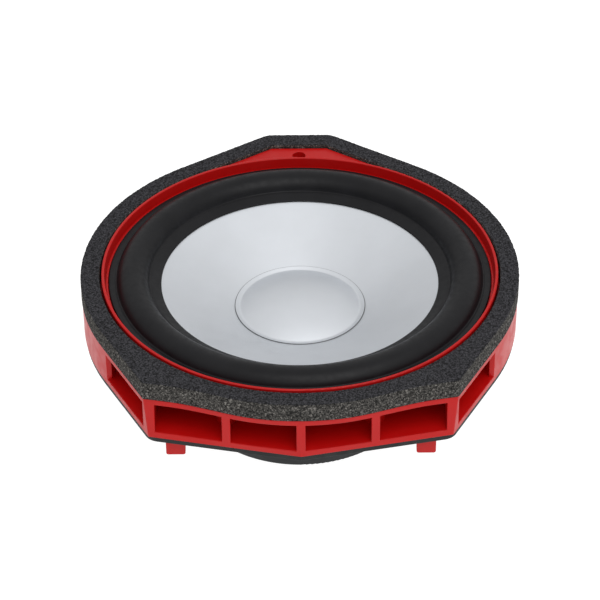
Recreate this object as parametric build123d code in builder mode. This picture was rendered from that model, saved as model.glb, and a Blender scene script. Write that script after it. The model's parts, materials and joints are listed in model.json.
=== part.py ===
"""Shallow 8-inch car subwoofer in a moulded adapter frame.

Units are millimetres.  The origin is on the speaker axis, in the plane of the
panel that the rear seal lies on.  +Z points out of the cone, towards the
listener.  +Y points to the screw ear, and the pocketed front of the frame
faces -Y.  Pieces are drawn with the underside of the adapter frame at Z = 0,
and lifted by the thickness of the seal when they are finished.
"""

import os
from math import cos, radians, sin

from build123d import *

# Adapter frame: outline
FRAME_R = 112.8  # main outline circle
FRAME_H = 21.5
EAR_Y = 124.9  # flat end of the screw ear
EAR_CORNER_R = 10.0
EAR_FLANK = 55.4  # direction of the ear flank's normal, degrees from +X
SIDE_FLANK = -28.5  # direction of the side flat's normal
FRONT_TOP = (-78.4, 108.4)  # front flat at the top: normal direction, distance from axis
FRONT_BOTTOM = (-77.9, 111.9)  # front flat at the bottom, which runs on to a shallow V
FRONT_FLAT_X = 62.0  # |x| beyond which the bowed front is straight
BOW_ANGLES = (-90, -77, -66)  # directions where the bowed front lies on the main circle
CORNER_R = 1.2

# Adapter frame: walls, pockets, collar
DECK = 3.2  # thickness of the top and bottom decks
WELL_R = 89.0  # opening that the basket hangs through
WELL_WALL = 2.5
FRONT_WINDOWS = ((2.2, 34.3), (38.5, 71.5))  # |x| span of each front pocket
SIDE_POCKET_X = 77.4
SIDE_POCKET_MOUTH = (95.0, -56.8)  # inner corner of the wall that ends the side pocket's mouth
SIDE_POCKET_BACK = (92.5, -44.0)  # rear corner of the side pocket, behind the outer wall
SHELF_TOP = 23.7
RECESS_R = 99.0  # recess in the shelf that locates the basket flange
STEP_TOP = 26.3
STEP_OUT_R = 100.0
COLLAR_R = 102.3
RIM_T = 1.5
COLLAR_TOP = 31.8
LEDGE_TOP = 29.5
LEDGE_FLANK_R = 102.3  # distance of the ledge flanks from the axis
LEDGE_Y = 113.8
EAR_HOLE_R = 3.65
EAR_HOLE_Y = 106.7
TAB_X = 62.0
TAB_Y = -95.5  # front face of the hanging tabs
TAB_SIZE = (9.6, 3.4)
TAB_DROP = 13.8
TAB_GUSSET = (2.4, 5.0, 9.0)  # width, depth and drop of the rib behind each tab
CORE_R = 103.5  # outer radius of the cored cells under the sides and back
CORE_CELLS = 10
CORE_CELL_ANGLE = 20.0
CORE_RIB = 2.4
EDGE_R = 0.6
BOTTOM_EDGE_R = 0.3
MOUTH_EDGE_R = 0.4
STEP_EDGE_R = 0.35

# Gaskets
FOAM_GROW = 0.3
FOAM_TOP = 31.5
FOAM_BORE_R = 103.3
FOAM_GAP = 0.5  # between the foam and the ear's ledge
SEAL_T = 2.9
SEAL_INSET = 0.4
SEAL_EDGE_R = 0.5
SEAL_CORNER_R = 8.0
SEAL_HOLE_GAP = 1.0
SEAL_BORE_R = 101.5
RING_GASKET_T = 1.0
SLOT_GAP = 0.6

# Basket
SHEET = 1.6
SHEET_BEND_R = 2.0
FLANGE_R = 98.7
FLANGE_TOP = SHELF_TOP + RING_GASKET_T + SHEET
FLANGE_BORE_R = 86.5
LEDGE_OUT_R = 66.0
LEDGE_IN_R = 58.0
SPIDER_SEAT = -7.0
PLATEAU_R = 52.5
PLATEAU_BORE_R = 29.0
ARM_COUNT = 6
ARM_WIDTH = 17.0
ARM_WINDOW = (67.5, 84.0)  # radii between which the arms stand free
LOWER_VENT = (54.0, 57.0)
LOWER_VENT_COUNT = 8
LOWER_VENT_LAND = 26.0
TONGUE_WIDTH = 27.0
TONGUE_R = 83.0
WINDOW_CORNER_R = 3.0

# Motor
PLATE_R = 52.0
PLATE_T = 7.0
PLATE_TOP = -19.7
GAP_R = 27.0
MAGNET_R = 55.0
MAGNET_BORE_R = 31.0
MAGNET_T = 17.0
POLE_R = 24.0
POLE_TOP = -18.7
VENT_R = 8.0
BOOT_R = 58.7
BOOT_BOTTOM = -53.3
BOOT_EDGE_R = 0.8
BOOT_LIP_R = 36.0
BOOT_TOP = -24.7
SHORTING_RING_H = 9.0
MESH_R = 9.5
MESH_T = 0.8
MESH_PITCH = 2.6
MESH_HOLE_R = 0.85
MESH_HOLES = 7  # across

# Moving assembly
FORMER_R = 24.6
FORMER_T = 0.25
FORMER_BOTTOM = -33.0
NECK_TOP = 3.2
WRAP_T = 0.35  # stiffening wrap around the top of the former
WRAP_BOTTOM = -10.0
LEAD_X = 3.6
LEAD_STRIP = 1.2
LEAD_STRIP_GAP = 0.05
LEAD_TOP = -1.8
WINDING_T = 1.3
WINDING_LENGTH = 18.0
WINDING_TOP = -14.2
CONE_R = 77.5
CONE_EDGE = (71.7, 22.4)  # radius and height of the cone where the surround's glue flange ends
CAP_EDGE = (33.6, 6.6)
CONE_T = 0.6
CONE_BEND_R = 1.0
NECK_BOTTOM = 0.8
CAP_T = 0.5
CAP_DOME_R = 31.2
CAP_EDGE_SLOPE = 24.0

# Suspension
RUBBER_T = 0.8
ROLL_OUT_R = 94.4
ROLL_IN_R = 78.0
ROLL_CREST = 32.5
SPIDER_T = 0.6
SPIDER_OUT_R = 64.5
SPIDER_WAVES = 6
SPIDER_WAVE_R = (31.0, 55.0)
SPIDER_WAVE_H = 1.3
SPIDER_BEND_R = 0.8
SPIDER_NECK = 2.4

# Fasteners
FRAME_SCREW_R = 95.0
CELL_SCREW_ANGLES = (0, 60, 120, 180)  # screws inside the cored cells
TOWER_SCREW_ANGLES = (247.5, 292.5)  # screws in towers on the front ribs
FRAME_SCREW_SHANK_R = 1.8
FRAME_SCREW_HEAD = (3.4, 2.3)
TOWER_R = 5.4
TOWER_BORE_R = 3.9
MOTOR_SCREW_COUNT = 4
MOTOR_SCREW_R = 42.0
MOTOR_SCREW_START = 45.0  # direction of the first motor screw
MOTOR_SCREW_SHANK_R = 2.4
MOTOR_SCREW_HEAD = (4.4, 2.4)
MOTOR_SCREW_END_GAP = 1.0  # left between a motor screw's tip and the magnet
HOLE_GAP = 0.2
HEAD_ROUND = 0.45  # of the head's height
SOCKET_R = 0.45  # of the head's radius
SOCKET_DEPTH = 0.6  # of the head's height

# Terminals
BOARD = (24.0, 12.0, 1.6)
BOARD_Y = 76.0
BOARD_CORNER_R = 1.5
TAB_BLADES = ((-7.0, 4.8), (7.0, 6.3))  # x and width of each spade
BLADE_T = 0.8
BLADE_Y = (70.5, 90.5)
BLADE_TIP = 1.2  # chamfer at the blade's tip
BLADE_HOLE_R = 0.8
BLADE_HOLE_Y = 86.5
RIVET_Y = 74.0
RIVET_R = 1.4
RIVET_HEAD_R = 2.2
LEAD_R = 0.8
LEAD_ARCH = (0.8, 3.0, 3.6, 1.8)  # height of the lead above its ends, from blade to coil
LEAD_SWAY = (0.9, 0.8, 0.6)  # x of the lead on its way in, as shares of the blade's x
LEAD_DROP_Y = 32.8  # where the lead starts to drop onto the coil

CONE_SLOPE = (CONE_EDGE[1] - CAP_EDGE[1]) / (CONE_EDGE[0] - CAP_EDGE[0])
WRAP_R = FORMER_R + FORMER_T + WRAP_T
MAGNET_TOP = PLATE_TOP - PLATE_T
MAGNET_BOTTOM = MAGNET_TOP - MAGNET_T
YOKE_BOTTOM = MAGNET_BOTTOM - PLATE_T
FRAME_SCREW_ANGLES = CELL_SCREW_ANGLES + TOWER_SCREW_ANGLES

os.makedirs("parts", exist_ok=True)


def finish(piece, name):
    """Lift a finished piece by the seal's thickness, label it and write its STEP file."""
    placed = piece.part.moved(Location((0, 0, SEAL_T)))
    placed.label = name
    export_step(placed, f"parts/{name}.step")


def polar(radius, angle):
    return (radius * cos(radians(angle)), radius * sin(radians(angle)))


def on_circle(radius, angles):
    """Locations at these directions on a circle around the axis."""
    return Locations(*[polar(radius, angle) for angle in angles])


def meet(line_a, line_b):
    """Crossing point of two lines, each given as (normal direction, distance from the axis)."""
    (a, p), (b, q) = line_a, line_b
    span = sin(radians(b - a))
    x = (p * sin(radians(b)) - q * sin(radians(a))) / span
    y = (q * cos(radians(a)) - p * cos(radians(b))) / span
    return (x, y)


def half_outline(grow=0.0, bowed=True, corner_r=CORNER_R):
    """Closed wire around the +X half of the frame's outline, grown outwards by grow.

    The back has the screw ear and the side has a tangent flat.  A bowed front
    follows the main circle up to the corner; otherwise it is half a shallow V.
    """
    radius = FRAME_R + grow
    ear = (90.0, EAR_Y + grow)
    flank = (EAR_FLANK, radius)
    side = (SIDE_FLANK, radius)
    front_angle, front_distance = FRONT_TOP if bowed else FRONT_BOTTOM
    front = (front_angle, front_distance + grow)
    ear_centre = meet((ear[0], ear[1] - EAR_CORNER_R), (flank[0], flank[1] - EAR_CORNER_R))
    corner_centre = meet((side[0], side[1] - corner_r), (front[0], front[1] - corner_r))
    with BuildLine() as path:
        ear_arc = CenterArc(ear_centre, EAR_CORNER_R, 90, EAR_FLANK - 90)
        ear_flat = Line((0, ear[1]), ear_arc @ 0)
        main_arc = CenterArc((0, 0), radius, EAR_FLANK, SIDE_FLANK - EAR_FLANK)
        Line(ear_arc @ 1, main_arc @ 0)
        corner_arc = CenterArc(corner_centre, corner_r, SIDE_FLANK, front_angle - SIDE_FLANK)
        Line(main_arc @ 1, corner_arc @ 0)
        if bowed:
            bow = [polar(radius, angle) for angle in BOW_ANGLES]
            flat = meet(front, (0, FRONT_FLAT_X))
            slopes = [(1, 0), polar(1, front_angle + 90)]
            front_edge = Spline(*bow, flat, corner_arc @ 1, tangents=slopes)
        else:
            front_edge = Line(meet(front, (0, 0)), corner_arc @ 1)
        Line(front_edge @ 0, ear_flat @ 0)
    return path.wire()


def strip(points, thickness, bend_r):
    """Band of sheet material to the right of a filleted path of (radius, height) points."""
    with BuildSketch(Plane.XZ) as shape:
        with BuildLine():
            FilletPolyline(*points, radius=bend_r)
            offset(amount=thickness, side=Side.RIGHT)
        make_face()
    return shape.sketch


def ring(outer_r, inner_r, bottom, top):
    """Plain ring as a part."""
    with BuildPart() as shape:
        with BuildSketch(Plane.XY.offset(bottom)):
            Circle(outer_r)
            Circle(inner_r, mode=Mode.SUBTRACT)
        extrude(amount=top - bottom)
    return shape.part


def cone_height(radius):
    """Height of the cone's front surface."""
    return CAP_EDGE[1] + (radius - CAP_EDGE[0]) * CONE_SLOPE


# Adapter frame --------------------------------------------------------------


def ear_ledge(grow=0.0):
    """Outline of the raised ledge around the ear hole, as a closed wire."""
    back = (90, LEDGE_Y + grow)
    flank = (EAR_FLANK, LEDGE_FLANK_R + grow)
    chord = (90, LEDGE_FLANK_R * sin(radians(EAR_FLANK)))
    with BuildLine() as path:
        half = Polyline((0, chord[1]), meet(flank, chord), meet(flank, back), (0, back[1]))
        mirror(half, about=Plane.YZ)
    return path.wire()


def mouth_edges(frame, inner_r):
    """Edges of the pocket that was cut last, where they lie beyond inner_r."""
    return frame.edges(Select.LAST).filter_by(
        lambda edge: min(Vector(end.X, end.Y).length for end in (edge @ 0, edge @ 1)) > inner_r
    )


POCKET_R = WELL_R + WELL_WALL
FRONT_MOUTH_R = POCKET_R + WELL_WALL
SIDE_MOUTH_R = FRAME_R - EDGE_R
POCKET_H = FRAME_H - 2 * DECK
CORE_MID_R = (CORE_R + POCKET_R) / 2

with BuildPart() as mounting_frame:
    with BuildSketch():
        make_face(half_outline(bowed=False))
    with BuildSketch(Plane.XY.offset(FRAME_H)):
        make_face(half_outline())
    loft(ruled=True)

    # Blind pockets through the front and the slanted side, closed by the well's wall
    for near_x, far_x in FRONT_WINDOWS:
        with BuildSketch(Plane.XY.offset(DECK)):
            with Locations(((near_x + far_x) / 2, -FRAME_R)):
                Rectangle(far_x - near_x, FRAME_R)
            Circle(POCKET_R, mode=Mode.SUBTRACT)
        extrude(amount=POCKET_H, mode=Mode.SUBTRACT)
        fillet(mouth_edges(mounting_frame, FRONT_MOUTH_R), MOUTH_EDGE_R)
    with BuildSketch(Plane.XY.offset(DECK)):
        with BuildLine():
            Polyline(
                (SIDE_POCKET_X, -FRAME_R),
                (FRAME_R, -FRAME_R),
                (FRAME_R, SIDE_POCKET_MOUTH[1]),
                SIDE_POCKET_MOUTH,
                SIDE_POCKET_BACK,
                (SIDE_POCKET_X, SIDE_POCKET_BACK[1]),
                close=True,
            )
        make_face()
        Circle(POCKET_R, mode=Mode.SUBTRACT)
    extrude(amount=POCKET_H, mode=Mode.SUBTRACT)
    fillet(mouth_edges(mounting_frame, SIDE_MOUTH_R), MOUTH_EDGE_R)
    for level, radius in ((0, BOTTOM_EDGE_R), (-1, EDGE_R)):
        rim_face = mounting_frame.faces().sort_by(Axis.Z)[level]
        fillet(rim_face.edges().filter_by(lambda edge: edge.center().X > EDGE_R), radius)
    mirror(about=Plane.YZ)

    # Well for the basket, with its shelf and the collar around the cone
    with BuildSketch():
        Circle(WELL_R)
    extrude(amount=FRAME_H, mode=Mode.SUBTRACT)
    with BuildSketch(Plane.XZ) as collar_profile:
        with BuildLine():
            Polyline(
                (WELL_R, FRAME_H - DECK),
                (COLLAR_R, FRAME_H - DECK),
                (COLLAR_R, COLLAR_TOP),
                (COLLAR_R - RIM_T, COLLAR_TOP),
                (STEP_OUT_R, STEP_TOP),
                (RECESS_R, STEP_TOP),
                (RECESS_R, SHELF_TOP),
                (WELL_R, SHELF_TOP),
                close=True,
            )
        make_face()
        fillet(collar_profile.vertices().group_by(Axis.Y)[-1], EDGE_R)
        step_edge = collar_profile.vertices().filter_by_position(Axis.Y, STEP_TOP, STEP_TOP)
        fillet(step_edge.sort_by(Axis.X)[0], STEP_EDGE_R)
    revolve(axis=Axis.Z)

    # Ledge and screw hole of the ear
    with BuildSketch(Plane.XY.offset(FRAME_H)):
        make_face(ear_ledge())
        Circle(COLLAR_R - RIM_T / 2, mode=Mode.SUBTRACT)
    extrude(amount=LEDGE_TOP - FRAME_H)
    with BuildSketch():
        with Locations((0, EAR_HOLE_Y)):
            Circle(EAR_HOLE_R)
    extrude(amount=LEDGE_TOP, mode=Mode.SUBTRACT)

    # Cored cells under the sides and the back
    with BuildSketch():
        Circle(CORE_R)
        Circle(POCKET_R, mode=Mode.SUBTRACT)
        first_rib = -CORE_CELL_ANGLE / 2
        cell_span = CORE_CELLS * CORE_CELL_ANGLE
        with PolarLocations(CORE_MID_R, CORE_CELLS + 1, first_rib, cell_span, endpoint=True):
            Rectangle(2 * (CORE_R - POCKET_R), CORE_RIB, mode=Mode.SUBTRACT)
        front_edge_y = polar(CORE_MID_R, first_rib)[1]
        with Locations((0, front_edge_y - FRAME_R)):
            Rectangle(2 * FRAME_R, 2 * FRAME_R, mode=Mode.SUBTRACT)
    extrude(amount=FRAME_H - DECK, mode=Mode.SUBTRACT)

    # Screw towers on the front ribs, and screw holes up into the basket flange
    with BuildSketch():
        with on_circle(FRAME_SCREW_R, TOWER_SCREW_ANGLES):
            Circle(TOWER_R)
    extrude(amount=FRAME_H - DECK)
    with BuildSketch():
        with on_circle(FRAME_SCREW_R, TOWER_SCREW_ANGLES):
            Circle(TOWER_BORE_R)
    extrude(amount=FRAME_H - DECK, mode=Mode.SUBTRACT)
    with BuildSketch(Plane.XY.offset(FRAME_H - DECK)):
        with on_circle(FRAME_SCREW_R, FRAME_SCREW_ANGLES):
            Circle(FRAME_SCREW_SHANK_R + HOLE_GAP)
    extrude(amount=SHELF_TOP, mode=Mode.SUBTRACT)

    # Hanging tabs with a gusset behind each
    for side in (-1, 1):
        with BuildSketch(Plane.XZ.offset(-TAB_Y)) as tab_face:
            with Locations((side * TAB_X, (DECK - TAB_DROP) / 2)):
                Rectangle(TAB_SIZE[0], DECK + TAB_DROP)
            fillet(tab_face.vertices().group_by(Axis.Y)[0], 2 * EDGE_R)
        extrude(amount=-TAB_SIZE[1])
        with BuildSketch(Plane.YZ.offset(side * TAB_X)):
            with BuildLine():
                rib_y = TAB_Y + TAB_SIZE[1]
                Polyline(
                    (rib_y, DECK / 2),
                    (rib_y + TAB_GUSSET[1], DECK / 2),
                    (rib_y + TAB_GUSSET[1], 0),
                    (rib_y, -TAB_GUSSET[2]),
                    close=True,
                )
            make_face()
        extrude(amount=TAB_GUSSET[0] / 2, both=True)
finish(mounting_frame, "mounting_frame")

# Gaskets --------------------------------------------------------------------

with BuildPart() as front_foam_gasket:
    with BuildSketch(Plane.XY.offset(FRAME_H)):
        make_face(half_outline(grow=FOAM_GROW))
        mirror(about=Plane.YZ)
        Circle(FOAM_BORE_R, mode=Mode.SUBTRACT)
        make_face(ear_ledge(grow=FOAM_GAP), mode=Mode.SUBTRACT)
    extrude(amount=FOAM_TOP - FRAME_H)
finish(front_foam_gasket, "front_foam_gasket")

with BuildPart() as rear_seal:
    with BuildSketch(Plane.XY.offset(-SEAL_T)):
        make_face(half_outline(grow=-SEAL_INSET, bowed=False, corner_r=SEAL_CORNER_R))
        mirror(about=Plane.YZ)
        Circle(SEAL_BORE_R, mode=Mode.SUBTRACT)
        slot_depth = TAB_SIZE[1] + TAB_GUSSET[1]
        with Locations(*[(side * TAB_X, TAB_Y + slot_depth / 2) for side in (-1, 1)]):
            Rectangle(TAB_SIZE[0] + 2 * SLOT_GAP, slot_depth + 2 * SLOT_GAP, mode=Mode.SUBTRACT)
        with Locations((0, EAR_HOLE_Y)):
            Circle(EAR_HOLE_R + SEAL_HOLE_GAP, mode=Mode.SUBTRACT)
    extrude(amount=SEAL_T)
    fillet(rear_seal.faces().sort_by(Axis.Z)[0].outer_wire().edges(), SEAL_EDGE_R)
finish(rear_seal, "rear_seal")

with BuildPart() as basket_gasket:
    with BuildSketch(Plane.XY.offset(SHELF_TOP)):
        Circle(FLANGE_R)
        Circle(WELL_R, mode=Mode.SUBTRACT)
        with on_circle(FRAME_SCREW_R, FRAME_SCREW_ANGLES):
            Circle(FRAME_SCREW_SHANK_R + HOLE_GAP, mode=Mode.SUBTRACT)
    extrude(amount=RING_GASKET_T)
finish(basket_gasket, "basket_gasket")

# Basket ---------------------------------------------------------------------

SPIDER_LAND = SPIDER_SEAT - SHEET
PLATEAU_TOP = PLATE_TOP + SHEET
ARM_REACH = 2 * FRAME_R

with BuildPart() as basket:
    section = (
        (PLATEAU_BORE_R, PLATEAU_TOP),
        (PLATEAU_R, PLATEAU_TOP),
        (LEDGE_IN_R, SPIDER_SEAT),
        (LEDGE_OUT_R, SPIDER_SEAT),
        (FLANGE_BORE_R, FLANGE_TOP),
        (FLANGE_R, FLANGE_TOP),
    )
    with BuildSketch(Plane.XZ):
        add(strip(section, SHEET, SHEET_BEND_R))
    revolve(axis=Axis.Z)

    # Windows between the arms
    with BuildSketch(Plane.XY.offset(SPIDER_SEAT)) as windows:
        Circle(ARM_WINDOW[1])
        Circle(ARM_WINDOW[0], mode=Mode.SUBTRACT)
        with PolarLocations(ARM_REACH / 2, ARM_COUNT):
            Rectangle(ARM_REACH, ARM_WIDTH, mode=Mode.SUBTRACT)
        fillet(windows.vertices(), WINDOW_CORNER_R)
    extrude(amount=SHELF_TOP - SPIDER_SEAT, mode=Mode.SUBTRACT)

    # Vents under the spider
    with BuildSketch(Plane.XY.offset(PLATEAU_TOP)) as vents:
        Circle(LOWER_VENT[1])
        Circle(LOWER_VENT[0], mode=Mode.SUBTRACT)
        with PolarLocations(ARM_REACH / 2, LOWER_VENT_COUNT):
            Rectangle(ARM_REACH, LOWER_VENT_LAND, mode=Mode.SUBTRACT)
    extrude(amount=SPIDER_LAND - PLATEAU_TOP, mode=Mode.SUBTRACT)

    # Tongue for the terminal board
    with BuildSketch(Plane.XY.offset(SPIDER_LAND)) as tongue:
        with Locations((0, (LEDGE_OUT_R + TONGUE_R) / 2 - SHEET)):
            Rectangle(TONGUE_WIDTH, TONGUE_R - LEDGE_OUT_R + SHEET)
        fillet(tongue.vertices().group_by(Axis.Y)[-1], WINDOW_CORNER_R)
        Circle(LEDGE_OUT_R - SHEET, mode=Mode.SUBTRACT)
    extrude(amount=SHEET)
    with BuildSketch(Plane.XY.offset(SPIDER_LAND)):
        with Locations(*[(x, RIVET_Y) for x, _ in TAB_BLADES]):
            Circle(RIVET_R)
    extrude(amount=SHEET, mode=Mode.SUBTRACT)

    # Screw holes in the flange and in the plateau
    with BuildSketch(Plane.XY.offset(FLANGE_TOP)):
        with on_circle(FRAME_SCREW_R, FRAME_SCREW_ANGLES):
            Circle(FRAME_SCREW_SHANK_R)
    extrude(amount=-SHEET, mode=Mode.SUBTRACT)
    with BuildSketch(Plane.XY.offset(PLATEAU_TOP)):
        with PolarLocations(MOTOR_SCREW_R, MOTOR_SCREW_COUNT, MOTOR_SCREW_START):
            Circle(MOTOR_SCREW_SHANK_R + HOLE_GAP)
    extrude(amount=-SHEET, mode=Mode.SUBTRACT)
finish(basket, "basket")

# Motor ----------------------------------------------------------------------

with BuildPart() as top_plate:
    with BuildSketch(Plane.XY.offset(MAGNET_TOP)):
        Circle(PLATE_R)
        Circle(GAP_R, mode=Mode.SUBTRACT)
        with PolarLocations(MOTOR_SCREW_R, MOTOR_SCREW_COUNT, MOTOR_SCREW_START):
            Circle(MOTOR_SCREW_SHANK_R, mode=Mode.SUBTRACT)
    extrude(amount=PLATE_T)
    chamfer(top_plate.edges().filter_by(GeomType.CIRCLE).sort_by(SortBy.RADIUS)[-2:], EDGE_R)
finish(top_plate, "top_plate")

with BuildPart() as magnet:
    with BuildSketch(Plane.XY.offset(MAGNET_BOTTOM)):
        Circle(MAGNET_R)
        Circle(MAGNET_BORE_R, mode=Mode.SUBTRACT)
    extrude(amount=MAGNET_T)
    chamfer(magnet.edges().filter_by(GeomType.CIRCLE), EDGE_R)
finish(magnet, "magnet")

with BuildPart() as t_yoke:
    with BuildSketch(Plane.XY.offset(YOKE_BOTTOM)):
        Circle(PLATE_R)
    extrude(amount=PLATE_T)
    chamfer(t_yoke.edges(), 2 * EDGE_R)
    with BuildSketch(Plane.XY.offset(MAGNET_BOTTOM)):
        Circle(POLE_R)
    extrude(amount=POLE_TOP - MAGNET_BOTTOM)
    chamfer(t_yoke.edges().group_by(Axis.Z)[-1], EDGE_R)
    with BuildSketch(Plane.XY.offset(YOKE_BOTTOM)):
        Circle(VENT_R)
    extrude(amount=POLE_TOP - YOKE_BOTTOM, mode=Mode.SUBTRACT)
    with BuildSketch(Plane.XY.offset(YOKE_BOTTOM)):
        Circle(MESH_R + HOLE_GAP)
    extrude(amount=MESH_T, mode=Mode.SUBTRACT)
finish(t_yoke, "t_yoke")

with BuildPart() as shorting_ring:
    add(ring(MAGNET_BORE_R - HOLE_GAP, GAP_R, MAGNET_BOTTOM, MAGNET_BOTTOM + SHORTING_RING_H))
finish(shorting_ring, "shorting_ring")

with BuildPart() as vent_mesh:
    with BuildSketch(Plane.XY.offset(YOKE_BOTTOM)):
        Circle(MESH_R)
        with HexLocations(MESH_PITCH / 2, MESH_HOLES, MESH_HOLES, major_radius=False):
            Circle(MESH_HOLE_R, mode=Mode.SUBTRACT)
    extrude(amount=MESH_T)
finish(vent_mesh, "vent_mesh")

with BuildPart() as magnet_boot:
    with BuildSketch(Plane.XZ) as boot_profile:
        with BuildLine():
            Polyline(
                (BOOT_LIP_R, BOOT_BOTTOM),
                (BOOT_R, BOOT_BOTTOM),
                (BOOT_R, BOOT_TOP),
                (PLATE_R + HOLE_GAP, BOOT_TOP),
                (PLATE_R + HOLE_GAP, MAGNET_TOP),
                (MAGNET_R + HOLE_GAP, MAGNET_TOP),
                (MAGNET_R + HOLE_GAP, YOKE_BOTTOM),
                (BOOT_LIP_R, YOKE_BOTTOM),
                close=True,
            )
        make_face()
        fillet(boot_profile.vertices().group_by(Axis.X)[-1], BOOT_EDGE_R)
    revolve(axis=Axis.Z)
finish(magnet_boot, "magnet_boot")

# Moving assembly ------------------------------------------------------------

with BuildPart() as coil_former:
    add(ring(FORMER_R + FORMER_T, FORMER_R, FORMER_BOTTOM, NECK_TOP))
finish(coil_former, "coil_former")

with BuildPart() as voice_coil:
    winding_bottom = WINDING_TOP - WINDING_LENGTH
    add(ring(FORMER_R + FORMER_T + WINDING_T, FORMER_R + FORMER_T, winding_bottom, WINDING_TOP))
finish(voice_coil, "voice_coil")

with BuildPart() as former_wrap:
    add(ring(WRAP_R, FORMER_R + FORMER_T, WRAP_BOTTOM, NECK_TOP))
    with BuildSketch(Plane.XY.offset(WRAP_BOTTOM)):
        with Locations(*[(side * LEAD_X, WRAP_R) for side in (-1, 1)]):
            Rectangle(LEAD_STRIP + 2 * HOLE_GAP, 2 * LEAD_STRIP)
    extrude(amount=LEAD_TOP - WRAP_BOTTOM, mode=Mode.SUBTRACT)
finish(former_wrap, "former_wrap")

with BuildPart() as coil_leads:
    with BuildSketch(Plane.XY.offset(WINDING_TOP)):
        Circle(WRAP_R - LEAD_STRIP_GAP)
        Circle(FORMER_R + FORMER_T, mode=Mode.SUBTRACT)
        with Locations((LEAD_X, WRAP_R)):
            Rectangle(LEAD_STRIP, 2 * LEAD_STRIP, mode=Mode.INTERSECT)
        mirror(about=Plane.YZ)
    extrude(amount=LEAD_TOP - WINDING_TOP)
finish(coil_leads, "coil_leads")

with BuildPart() as cone:
    section = ((WRAP_R, NECK_BOTTOM), (WRAP_R, cone_height(WRAP_R)), (CONE_R, cone_height(CONE_R)))
    with BuildSketch(Plane.XZ):
        add(strip(section, CONE_T, CONE_BEND_R))
    revolve(axis=Axis.Z)
finish(cone, "cone")


def on_cone(radius, thickness):
    """Front surface point of a sheet of this thickness glued on the cone."""
    return (radius, cone_height(radius) + thickness * (1 + CONE_SLOPE**2) ** 0.5)


with BuildPart() as dust_cap:
    dome_r = CAP_DOME_R / sin(radians(CAP_EDGE_SLOPE))
    dome_edge = on_cone(CAP_DOME_R, CAP_T)
    with BuildSketch(Plane.XZ):
        with BuildLine():
            dome_centre = (0, dome_edge[1] - dome_r * cos(radians(CAP_EDGE_SLOPE)))
            dome = CenterArc(dome_centre, dome_r, 90, -CAP_EDGE_SLOPE)
            Line(dome @ 1, on_cone(CAP_EDGE[0], CAP_T))
            offset(amount=CAP_T, side=Side.RIGHT)
        make_face()
    revolve(axis=Axis.Z)
finish(dust_cap, "dust_cap")

# Suspension -----------------------------------------------------------------

with BuildPart() as surround:
    with BuildSketch(Plane.XZ):
        with BuildLine():
            glue = Line(on_cone(CONE_EDGE[0], RUBBER_T), on_cone(ROLL_IN_R, RUBBER_T))
            rim = FLANGE_TOP + RUBBER_T
            roll = ThreePointArc(
                glue @ 1,
                ((ROLL_IN_R + ROLL_OUT_R) / 2, ROLL_CREST),
                (ROLL_OUT_R, rim),
            )
            Line(roll @ 1, (FLANGE_R, rim))
            offset(amount=RUBBER_T, side=Side.RIGHT)
        make_face()
    revolve(axis=Axis.Z)
finish(surround, "surround")

with BuildPart() as spider:
    land = SPIDER_SEAT + SPIDER_T
    half_wave = (SPIDER_WAVE_R[1] - SPIDER_WAVE_R[0]) / (2 * SPIDER_WAVES)
    section = [(WRAP_R, land - SPIDER_NECK), (WRAP_R, land), (SPIDER_WAVE_R[0] - half_wave, land)]
    for step in range(2 * SPIDER_WAVES):
        lift = SPIDER_WAVE_H if step % 2 else -SPIDER_WAVE_H
        section.append((SPIDER_WAVE_R[0] + half_wave * (step + 0.5), land + lift))
    section += [(SPIDER_WAVE_R[1] + half_wave, land), (SPIDER_OUT_R, land)]
    with BuildSketch(Plane.XZ):
        add(strip(section, SPIDER_T, SPIDER_BEND_R))
    revolve(axis=Axis.Z)
finish(spider, "spider")

# Fasteners ------------------------------------------------------------------


def screw(head, shank_r, length):
    """Button-head screw with a hex socket; the head rests on Z = 0 and points up."""
    head_r, head_h = head
    with BuildPart() as shape:
        Cylinder(head_r, head_h, align=(Align.CENTER, Align.CENTER, Align.MIN))
        fillet(shape.edges().group_by(Axis.Z)[-1], HEAD_ROUND * head_h)
        Cylinder(shank_r, length, align=(Align.CENTER, Align.CENTER, Align.MAX))
        with BuildSketch(Plane.XY.offset(head_h)):
            RegularPolygon(SOCKET_R * head_r, 6)
        extrude(amount=-SOCKET_DEPTH * head_h, mode=Mode.SUBTRACT)
    return shape.part


with BuildPart() as frame_screws:
    shelf_underside = FRAME_H - DECK
    screw_length = FLANGE_TOP - shelf_underside - HOLE_GAP
    frame_screw = screw(FRAME_SCREW_HEAD, FRAME_SCREW_SHANK_R, screw_length)
    with on_circle(FRAME_SCREW_R, FRAME_SCREW_ANGLES):
        with Locations(Location((0, 0, shelf_underside), (180, 0, 0))):
            add(frame_screw)
finish(frame_screws, "frame_screws")

with BuildPart() as motor_screws:
    motor_screw_length = SHEET + PLATE_T - MOTOR_SCREW_END_GAP
    motor_screw = screw(MOTOR_SCREW_HEAD, MOTOR_SCREW_SHANK_R, motor_screw_length)
    with PolarLocations(MOTOR_SCREW_R, MOTOR_SCREW_COUNT, MOTOR_SCREW_START):
        with Locations((0, 0, PLATEAU_TOP)):
            add(motor_screw)
finish(motor_screws, "motor_screws")

# Terminals ------------------------------------------------------------------

BOARD_TOP = SPIDER_SEAT + BOARD[2]
BLADE_TOP = BOARD_TOP + BLADE_T

with BuildPart() as terminal_board:
    with BuildSketch(Plane.XY.offset(SPIDER_SEAT)):
        with Locations((0, BOARD_Y)):
            RectangleRounded(BOARD[0], BOARD[1], BOARD_CORNER_R)
        with Locations(*[(x, RIVET_Y) for x, _ in TAB_BLADES]):
            Circle(RIVET_R, mode=Mode.SUBTRACT)
    extrude(amount=BOARD[2])
finish(terminal_board, "terminal_board")

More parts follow.
